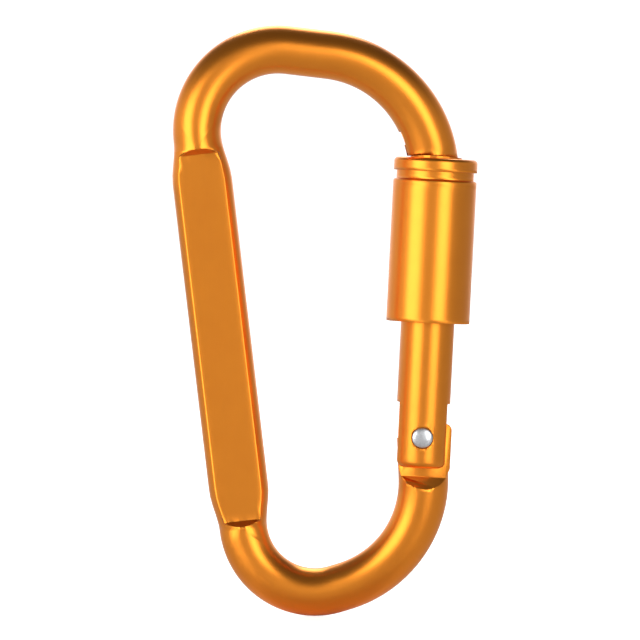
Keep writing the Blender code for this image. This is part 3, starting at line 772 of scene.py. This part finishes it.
def turned(name, profile, sides, thread_from=None, crest=0, phase=0, hollow=False):
    """A profile of (radius, height) points turned about Z, with a thread after one point."""
    shape = bmesh.new()
    rings = [circle(shape, radius, height, sides) for radius, height in profile]
    following = rings[1:] + rings[:1] if hollow else rings[1:]
    for k, (one, other) in enumerate(zip(rings, following)):
        if k == thread_from:
            cut_thread(shape, one, other, profile[k][0], crest, phase)
        else:
            skin(shape, one, other)
    bmesh.ops.recalc_face_normals(shape, faces=shape.faces)
    mesh = bpy.data.meshes.new(name)
    shape.to_mesh(mesh)
    shape.free()
    return mesh


thread_radius = gate_radius - THREAD_INSET
thread_root = thread_radius - THREAD_DEPTH
bore_radius = BORE_DIAMETER / 2
gate_top = gate_length - GATE_TOP_DROP
thread_foot = gate_length - NUT_DROP - SLEEVE_DROP - THREAD_PITCH
foot_arc = arc((foot_corner.x, -foot_corner.y), GATE_FOOT_ROUND, -math.pi / 2, 0, CORNER_STEPS)
gate_profile = [
    (0, BORE_DEPTH),
    (bore_radius, BORE_DEPTH),
    (bore_radius, -GATE_FOOT),
    *(tuple(point) for point in foot_arc),
    (gate_radius, thread_foot - (gate_radius - thread_root)),
    (thread_root, thread_foot),
    (thread_root, gate_top),
    (STEM_BORE / 2, gate_top),
    (STEM_BORE / 2, gate_top - STEM_DEPTH),
    (0, gate_top - STEM_DEPTH),
]
gate_profile = in_bands(gate_profile, (thread_root, thread_foot))
threaded_tube = turned(
    "gate_tube", gate_profile, GATE_SIDES,
    gate_profile.index((thread_root, thread_foot)), thread_radius,
)
slot_half = TONGUE_THICKNESS / 2 + CHEEK_GAP
fork_cut = plate("fork", [
    (-GATE_DIAMETER, -GATE_DIAMETER), (GATE_DIAMETER, -GATE_DIAMETER),
    (GATE_DIAMETER, FORK_DEPTH), (-GATE_DIAMETER, FORK_DEPTH),
], slot_half * 2)
rivet_seat = gate_radius - RIVET_SEAT_DEPTH
seat_middle = rivet_seat + gate_radius / 2
turned_orange = anodised("orange_turned_tube", ((0, 0, 0), TURNED_LINES), GATE_MARKS)
gate_piece = keep("forked_gate", machined(threaded_tube, (
    (fork_cut, "DIFFERENCE"),
    (pin("rivet_hole", RIVET_HOLE / 2, GATE_DIAMETER * 2, RIVET_SIDES), "DIFFERENCE"),
    (pin("front_seat", RIVET_SEAT / 2, gate_radius, RIVET_SIDES, -seat_middle), "DIFFERENCE"),
    (pin("back_seat", RIVET_SEAT / 2, gate_radius, RIVET_SIDES, seat_middle), "DIFFERENCE"),
)), turned_orange, hinge_place)
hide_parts("gate")
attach(gate_piece, "gate_body")

# ---------------------------------------------------------------------------------------------
# Latch tip: the turned cap pressed into the gate's top, with a small T that hooks in the nose.
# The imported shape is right, so it only takes the gate's turned finish.
frame["nodes"]["latch_tip"].data.materials.clear()
frame["nodes"]["latch_tip"].data.materials.append(turned_orange)

# ---------------------------------------------------------------------------------------------
# Hinge rivet: a bright steel pin through the fork and tongue, its two ends peened to low domes.
RIVET_DIAMETER = 0.0020
RIVET_HEAD = 0.0028
RIVET_HEAD_HEIGHT = 0.00045
RIVET_SEAT_GAP = 0.0001
DOME_STEPS = 12
STEEL_DARK = (0.60, 0.61, 0.63, 1.0)
STEEL_LIGHT = (0.74, 0.75, 0.77, 1.0)
STEEL_ROUGH = (0.30, 0.36)
STEEL_SPREAD = (0.35, 0.65)
STEEL_GRAIN = 3500.0
STEEL_DENTS = 0.000003


def steel(name, roughness, dents):
    """Bright steel with a fine grain and shallow marks from its making."""
    finish = bpy.data.materials.new(name)
    finish.use_nodes = True
    nodes, links = finish.node_tree.nodes, finish.node_tree.links
    shader = nodes["Principled BSDF"]
    shader.inputs["Metallic"].default_value = 1.0
    place = nodes.new("ShaderNodeTexCoord")
    grain = nodes.new("ShaderNodeTexNoise")
    grain.inputs["Scale"].default_value = STEEL_GRAIN
    grain.inputs["Detail"].default_value = 3.0
    links.new(place.outputs["Object"], grain.inputs["Vector"])
    tone = nodes.new("ShaderNodeValToRGB")
    tone.color_ramp.elements[0].position = STEEL_SPREAD[0]
    tone.color_ramp.elements[0].color = STEEL_DARK
    tone.color_ramp.elements[1].position = STEEL_SPREAD[1]
    tone.color_ramp.elements[1].color = STEEL_LIGHT
    links.new(grain.outputs["Fac"], tone.inputs["Fac"])
    links.new(tone.outputs["Color"], shader.inputs["Base Color"])
    polish = nodes.new("ShaderNodeMapRange")
    polish.inputs["To Min"].default_value = roughness[0]
    polish.inputs["To Max"].default_value = roughness[1]
    links.new(grain.outputs["Fac"], polish.inputs["Value"])
    links.new(polish.outputs["Result"], shader.inputs["Roughness"])
    hammer = nodes.new("ShaderNodeTexNoise")
    hammer.inputs["Scale"].default_value = STEEL_GRAIN / 3
    links.new(place.outputs["Object"], hammer.inputs["Vector"])
    dent = nodes.new("ShaderNodeBump")
    dent.inputs["Distance"].default_value = dents
    links.new(hammer.outputs["Fac"], dent.inputs["Height"])
    links.new(dent.outputs["Normal"], shader.inputs["Normal"])
    return finish


seat = rivet_seat + RIVET_SEAT_GAP
dome = [
    (RIVET_HEAD / 2 * math.sin(math.pi / 2 * k / DOME_STEPS),
     seat + RIVET_HEAD_HEIGHT * math.cos(math.pi / 2 * k / DOME_STEPS))
    for k in range(DOME_STEPS)
]
upper = [*dome, (RIVET_HEAD / 2, seat), (RIVET_DIAMETER / 2, seat)]
lower = [(radius, -height) for radius, height in reversed(upper)]
rivet_mesh = broken_edges(turned("rivet", upper + lower, RIVET_SIDES), EDGE_ROUND / 2)
rivet_mesh.transform(Matrix.Rotation(math.pi / 2, 4, "X"))
bright_steel = steel("bright_steel", STEEL_ROUGH, STEEL_DENTS)
rivet_piece = keep("peened_rivet", rivet_mesh, bright_steel, hinge_place)
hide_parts("hinge_rivet")
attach(rivet_piece, "gate_body")

# ---------------------------------------------------------------------------------------------
# Plunger, spring and friction ring: small steel pieces inside the gate and the sleeve's foot.
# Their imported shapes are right, so they only take their own steel.
SPRING_ROUGH = (0.28, 0.42)
spring_steel = steel("spring_steel_wire", SPRING_ROUGH, STEEL_DENTS / 4)
for name, finish in (
    ("spring_plunger", bright_steel), ("gate_spring", spring_steel), ("sleeve_ring", spring_steel),
):
    inner = frame["nodes"][name]
    inner.data.materials.clear()
    inner.data.materials.append(finish)

# ---------------------------------------------------------------------------------------------
# Locking sleeve: a turned barrel that screws up over the seam between the gate and the nose.
# Its rounded collar, groove and barrel all carry the same fine turning marks.
SLEEVE_SIDES = 96
TUBE_SHOWN = 0.0156
MOUTH_RADIUS = 0.0044
MOUTH_DEPTH = 0.0021
SLEEVE_CLEARANCE = 0.000125
THREAD_CLEARANCE = 0.0001
NUT_LENGTH = 0.0040
GROOVE_HEIGHT = 0.00115
GROOVE_DEPTH = 0.00042
GROOVE_CHAMFER = 0.0002
COLLAR_HEIGHT = 0.00175
RING_RISE = 0.0008
RING_GROOVE_HEIGHT = 0.0008
RING_GROOVE_DEPTH = 0.0006
COLLAR_MARKS = 0.00000008

bore = gate_radius + SLEEVE_CLEARANCE
nut_root = thread_radius + THREAD_CLEARANCE
nut_foot = gate_length - NUT_DROP
nut_step = bore - nut_root
ring_foot = TUBE_SHOWN + RING_RISE - RING_GROOVE_HEIGHT / 2
groove_top = gate_length - COLLAR_HEIGHT
groove_foot = groove_top - GROOVE_HEIGHT
groove_radius = sleeve_radius - GROOVE_DEPTH
collar_turn = (sleeve_radius - COLLAR_ROUND, gate_length - COLLAR_ROUND)
sleeve_profile = [
    (bore, TUBE_SHOWN),
    (bore, ring_foot),
    (bore + RING_GROOVE_DEPTH, ring_foot),
    (bore + RING_GROOVE_DEPTH, ring_foot + RING_GROOVE_HEIGHT),
    (bore, ring_foot + RING_GROOVE_HEIGHT),
    (bore, nut_foot - nut_step),
    (nut_root, nut_foot),
    (nut_root, nut_foot + NUT_LENGTH),
    (bore, nut_foot + NUT_LENGTH + nut_step),
    (bore, gate_length - MOUTH_DEPTH),
    (MOUTH_RADIUS, gate_length - MOUTH_DEPTH),
    (MOUTH_RADIUS, gate_length),
    *(tuple(point) for point in reversed(
        arc(collar_turn, COLLAR_ROUND, 0, math.pi / 2, CORNER_STEPS))),
    (sleeve_radius, groove_top),
    (groove_radius, groove_top),
    (groove_radius, groove_foot),
    (sleeve_radius - GROOVE_CHAMFER, groove_foot),
    (sleeve_radius, groove_foot - GROOVE_CHAMFER),
    (sleeve_radius, TUBE_SHOWN),
]
sleeve_profile = in_bands([*sleeve_profile, (bore, TUBE_SHOWN)], (nut_root, nut_foot))[:-1]
sleeve_mesh = broken_edges(turned(
    "sleeve", sleeve_profile, SLEEVE_SIDES, sleeve_profile.index((nut_root, nut_foot)),
    nut_root - THREAD_DEPTH, THREAD_PITCH / 2, hollow=True,
), EDGE_ROUND)
collar_orange = anodised("orange_turned_sleeve", ((0, 0, 0), TURNED_LINES), COLLAR_MARKS)
sleeve_piece = keep("screw_sleeve", sleeve_mesh, collar_orange, hinge_place)
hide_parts("locking_sleeve")
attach(sleeve_piece, "sleeve_body")
